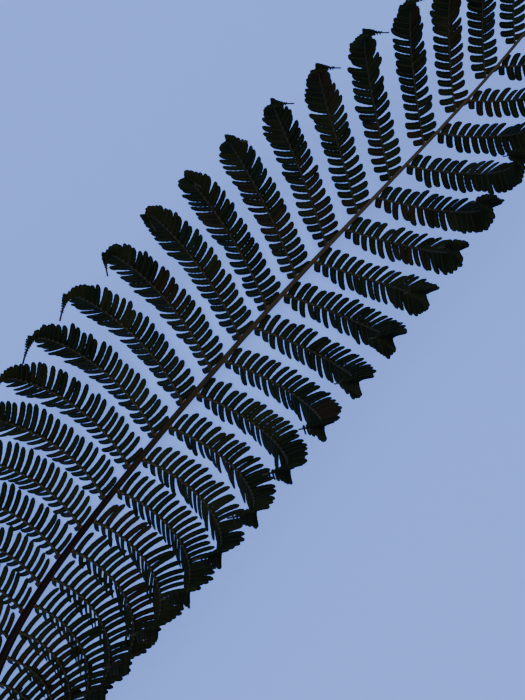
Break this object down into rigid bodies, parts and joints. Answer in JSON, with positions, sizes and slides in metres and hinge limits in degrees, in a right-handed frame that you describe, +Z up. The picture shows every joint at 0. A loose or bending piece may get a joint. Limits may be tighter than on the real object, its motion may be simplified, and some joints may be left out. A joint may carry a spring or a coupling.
{
  "type": "tree fern frond",
  "caption": "Long feathered frond of a tree fern, cut at its stalk and lying on its back with the leaf undersides up, its paired pinnae curling up towards their tips.",
  "frame": {"origin": "middle of the bounding box, on the floor that the frond lies on", "axes": "+X along the rachis towards the frond's tip, +Y towards the frond's left side seen from above, +Z up, out of the leaf undersides"},
  "size_m": [2.4578, 0.6334, 0.4688],
  "materials": {
    "rachis": "smooth fibrous stalk, dark red brown low down and paler brown towards the tip",
    "foliage": "dark green leaf undersides, soft satin"
  },
  "bodies": {
    "root": {"stalk": "rachis", "rachis_lower": "rachis", "rachis_middle": "rachis", "rachis_upper": "rachis", "apex": "foliage", "pinna_right_01": "foliage", "pinna_left_01": "foliage", "pinna_right_02": "foliage", "pinna_left_02": "foliage", "pinna_right_03": "foliage", "pinna_left_03": "foliage", "pinna_right_04": "foliage", "pinna_left_04": "foliage", "pinna_right_05": "foliage", "pinna_left_05": "foliage", "pinna_right_06": "foliage", "pinna_left_06": "foliage", "pinna_right_07": "foliage", "pinna_left_07": "foliage", "pinna_right_08": "foliage", "pinna_left_08": "foliage", "pinna_right_09": "foliage", "pinna_left_09": "foliage", "pinna_right_10": "foliage", "pinna_left_10": "foliage", "pinna_right_11": "foliage", "pinna_left_11": "foliage", "pinna_right_12": "foliage", "pinna_left_12": "foliage", "pinna_right_13": "foliage", "pinna_left_13": "foliage", "pinna_right_14": "foliage", "pinna_left_14": "foliage", "pinna_right_15": "foliage", "pinna_left_15": "foliage", "pinna_right_16": "foliage", "pinna_left_16": "foliage", "pinna_right_17": "foliage", "pinna_left_17": "foliage", "pinna_right_18": "foliage", "pinna_left_18": "foliage", "pinna_right_19": "foliage", "pinna_left_19": "foliage", "pinna_right_20": "foliage", "pinna_left_20": "foliage", "pinna_right_21": "foliage", "pinna_left_21": "foliage", "pinna_right_22": "foliage", "pinna_left_22": "foliage", "pinna_right_23": "foliage", "pinna_left_23": "foliage", "pinna_right_24": "foliage", "pinna_left_24": "foliage", "pinna_right_25": "foliage", "pinna_left_25": "foliage", "pinna_right_26": "foliage", "pinna_left_26": "foliage"}
  },
  "joints": []
}
